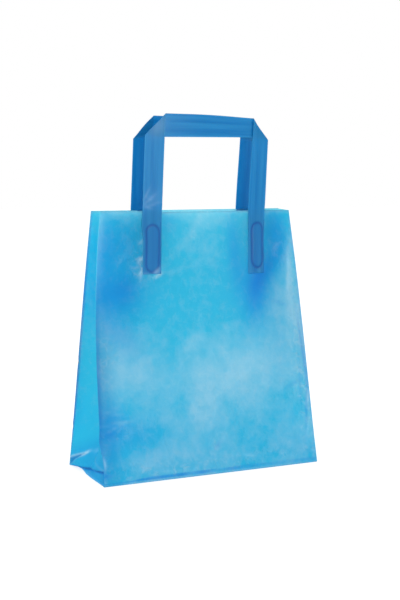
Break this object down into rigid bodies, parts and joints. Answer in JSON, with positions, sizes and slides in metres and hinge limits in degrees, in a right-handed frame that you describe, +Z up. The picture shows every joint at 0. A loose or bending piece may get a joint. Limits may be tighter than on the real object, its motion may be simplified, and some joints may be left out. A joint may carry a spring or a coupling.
{
  "type": "plastic carrier bag",
  "caption": "Blue frosted film carrier bag with side gussets, a flat block bottom and a folded tape handle on each panel.",
  "frame": {"origin": "middle of the underside of the base, at the bottom centre of the part's box", "axes": "+Z up towards the handles, -Y the front panel, +X to the right seen from the front"},
  "size_m": [0.25, 0.1, 0.3725],
  "materials": {
    "film": "frosted translucent blown polythene film",
    "tape": "satin folded polythene film tape"
  },
  "bodies": {
    "root": {"bag_body": "film", "front_handle": "tape", "back_handle": "tape"}
  },
  "joints": []
}
